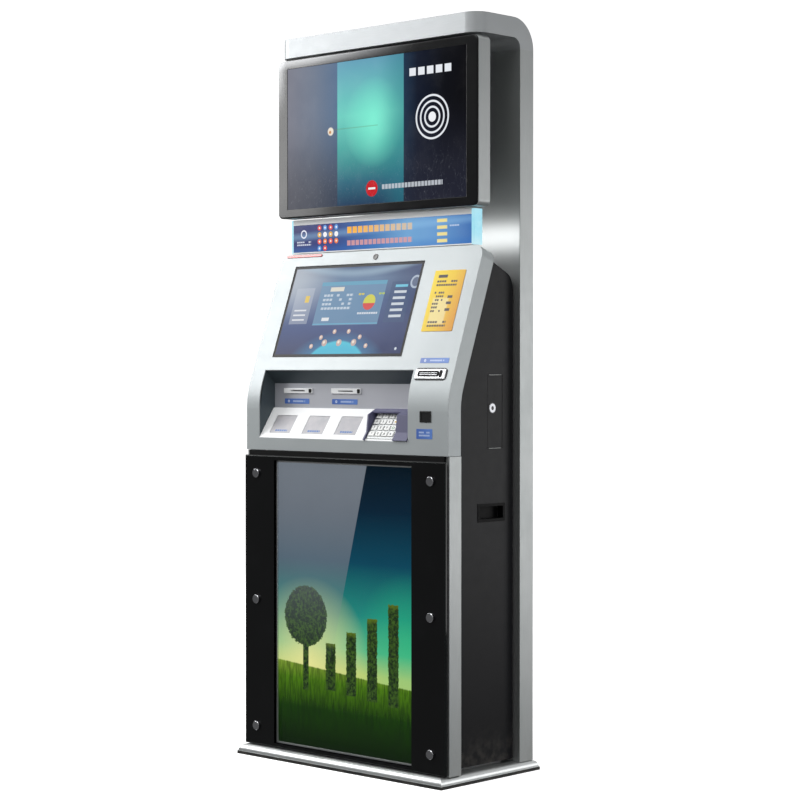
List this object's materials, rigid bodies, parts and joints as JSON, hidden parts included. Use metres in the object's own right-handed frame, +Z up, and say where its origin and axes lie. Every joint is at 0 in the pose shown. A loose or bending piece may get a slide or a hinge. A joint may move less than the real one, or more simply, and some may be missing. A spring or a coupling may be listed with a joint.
{
  "type": "self-service banking kiosk",
  "caption": "Free-standing self-service banking kiosk with sloping touch console, card slots, shielded keypad, upper display, light banner and rear column with canopy.",
  "frame": {"origin": "on the floor under the middle of the plinth", "axes": "+Z up, the customer stands at -Y, +X is on the customer's right"},
  "size_m": [0.796, 0.406, 2.075],
  "materials": {
    "plinth_alloy": "satin anodised",
    "brushed_steel": "brushed",
    "trim_alloy": "satin anodised",
    "fascia_silver": "fine silver paint",
    "dark_paint": "fine texture",
    "liner_paint": "satin",
    "black_glass": "gloss",
    "frame_steel": "powder coat",
    "black_plastic": "satin",
    "gloss_black": "gloss",
    "white_plastic": "satin",
    "key_plastic": "satin",
    "shield_plastic": "satin",
    "steel_hardware": "polished",
    "screen": "lit screen",
    "poster": "back-lit film",
    "banner_blue": "back-lit",
    "cyan_glow": "edge-lit acrylic",
    "zinc": "zinc plated",
    "paper": "matte"
  },
  "bodies": {
    "cabinet": {"banner_ends": "cyan_glow", "banner_face": "banner_blue", "banner_housing": "white_plastic", "cable_gland": "black_plastic", "camera": "gloss_black", "canopy_housing": "trim_alloy", "card_panel": "fascia_silver", "card_readers": "white_plastic", "column_core": "frame_steel", "column_face": "brushed_steel", "computer_unit": "frame_steel", "console_fascia": "fascia_silver", "console_hood": "dark_paint", "display_bezel": "gloss_black", "display_bracket": "frame_steel", "display_casing": "fascia_silver", "display_screen": "screen", "door_hinges": "zinc", "fingerprint_reader": "gloss_black", "front_glass": "black_glass", "front_posts": "trim_alloy", "glass_carrier": "black_plastic", "inner_frame": "frame_steel", "keypad_shelf": "white_plastic", "pinpad_housing": "brushed_steel", "pinpad_shield": "shield_plastic", "plinth": "plinth_alloy", "poster_panel": "poster", "rear_cover": "frame_steel", "rear_cover_screws": "zinc", "receipt_bezel": "steel_hardware", "receipt_printer": "black_plastic", "recess_liner": "liner_paint", "side_panel_left": "dark_paint", "side_trims": "trim_alloy", "standoff_screws": "steel_hardware", "touch_screen": "screen"},
    "side_door": {"side_door": "dark_paint", "pull_handle": "black_plastic"},
    "access_door": {"access_door": "dark_paint", "lock_barrel": "steel_hardware"},
    "lock_plug": {"lock_plug": "steel_hardware"},
    "paper_roll": {"paper_roll": "paper"},
    "fan_rotor": {"fan_rotor": "black_plastic"},
    "key_01": {"key_01": "key_plastic"},
    "key_02": {"key_02": "key_plastic"},
    "key_03": {"key_03": "key_plastic"},
    "key_04": {"key_04": "key_plastic"},
    "key_05": {"key_05": "key_plastic"},
    "key_06": {"key_06": "key_plastic"},
    "key_07": {"key_07": "key_plastic"},
    "key_08": {"key_08": "key_plastic"},
    "key_09": {"key_09": "key_plastic"},
    "key_10": {"key_10": "key_plastic"},
    "key_11": {"key_11": "key_plastic"},
    "key_12": {"key_12": "key_plastic"},
    "key_13": {"key_13": "key_plastic"},
    "key_14": {"key_14": "key_plastic"},
    "key_15": {"key_15": "key_plastic"},
    "key_16": {"key_16": "key_plastic"}
  },
  "joints": [
    {"name": "side_door_swing", "type": "hinge", "parent": "cabinet", "child": "side_door", "pos_m": [0.3565, 0.1185, 0.7], "axis": [0, 0, 1], "range_deg": [0, 88]},
    {"name": "access_door_swing", "type": "hinge", "parent": "side_door", "child": "access_door", "pos_m": [0.3624, 0.0783, 0.996], "axis": [0, 0, 1], "range_deg": [0, 90]},
    {"name": "lock_turn", "type": "hinge", "parent": "access_door", "child": "lock_plug", "pos_m": [0.365, 0.0387, 1.0055], "axis": [1, 0, 0], "range_deg": [0, 90]},
    {"name": "paper_roll_spin", "type": "hinge", "parent": "cabinet", "child": "paper_roll", "pos_m": [0.312, -0.07871, 1.083], "axis": [1, 0, 0], "continuous": true},
    {"name": "fan_spin", "type": "hinge", "parent": "cabinet", "child": "fan_rotor", "pos_m": [0.075, 0, 0.547], "axis": [1, 0, 0], "continuous": true},
    {"name": "key_01_press", "type": "slide", "parent": "cabinet", "child": "key_01", "axis": [0, 0.8278, -0.561], "range_m": [0, 0.0015], "stiffness_N_per_m": 600, "springref_m": -0.0008},
    {"name": "key_02_press", "type": "slide", "parent": "cabinet", "child": "key_02", "axis": [0, 0.8278, -0.561], "range_m": [0, 0.0015], "stiffness_N_per_m": 600, "springref_m": -0.0008},
    {"name": "key_03_press", "type": "slide", "parent": "cabinet", "child": "key_03", "axis": [0, 0.8278, -0.561], "range_m": [0, 0.0015], "stiffness_N_per_m": 600, "springref_m": -0.0008},
    {"name": "key_04_press", "type": "slide", "parent": "cabinet", "child": "key_04", "axis": [0, 0.8278, -0.561], "range_m": [0, 0.0015], "stiffness_N_per_m": 600, "springref_m": -0.0008},
    {"name": "key_05_press", "type": "slide", "parent": "cabinet", "child": "key_05", "axis": [0, 0.8278, -0.561], "range_m": [0, 0.0015], "stiffness_N_per_m": 600, "springref_m": -0.0008},
    {"name": "key_06_press", "type": "slide", "parent": "cabinet", "child": "key_06", "axis": [0, 0.8278, -0.561], "range_m": [0, 0.0015], "stiffness_N_per_m": 600, "springref_m": -0.0008},
    {"name": "key_07_press", "type": "slide", "parent": "cabinet", "child": "key_07", "axis": [0, 0.8278, -0.561], "range_m": [0, 0.0015], "stiffness_N_per_m": 600, "springref_m": -0.0008},
    {"name": "key_08_press", "type": "slide", "parent": "cabinet", "child": "key_08", "axis": [0, 0.8278, -0.561], "range_m": [0, 0.0015], "stiffness_N_per_m": 600, "springref_m": -0.0008},
    {"name": "key_09_press", "type": "slide", "parent": "cabinet", "child": "key_09", "axis": [0, 0.8278, -0.561], "range_m": [0, 0.0015], "stiffness_N_per_m": 600, "springref_m": -0.0008},
    {"name": "key_10_press", "type": "slide", "parent": "cabinet", "child": "key_10", "axis": [0, 0.8278, -0.561], "range_m": [0, 0.0015], "stiffness_N_per_m": 600, "springref_m": -0.0008},
    {"name": "key_11_press", "type": "slide", "parent": "cabinet", "child": "key_11", "axis": [0, 0.8278, -0.561], "range_m": [0, 0.0015], "stiffness_N_per_m": 600, "springref_m": -0.0008},
    {"name": "key_12_press", "type": "slide", "parent": "cabinet", "child": "key_12", "axis": [0, 0.8278, -0.561], "range_m": [0, 0.0015], "stiffness_N_per_m": 600, "springref_m": -0.0008},
    {"name": "key_13_press", "type": "slide", "parent": "cabinet", "child": "key_13", "axis": [0, 0.8278, -0.561], "range_m": [0, 0.0015], "stiffness_N_per_m": 600, "springref_m": -0.0008},
    {"name": "key_14_press", "type": "slide", "parent": "cabinet", "child": "key_14", "axis": [0, 0.8278, -0.561], "range_m": [0, 0.0015], "stiffness_N_per_m": 600, "springref_m": -0.0008},
    {"name": "key_15_press", "type": "slide", "parent": "cabinet", "child": "key_15", "axis": [0, 0.8278, -0.561], "range_m": [0, 0.0015], "stiffness_N_per_m": 600, "springref_m": -0.0008},
    {"name": "key_16_press", "type": "slide", "parent": "cabinet", "child": "key_16", "axis": [0, 0.8278, -0.561], "range_m": [0, 0.0015], "stiffness_N_per_m": 600, "springref_m": -0.0008}
  ]
}
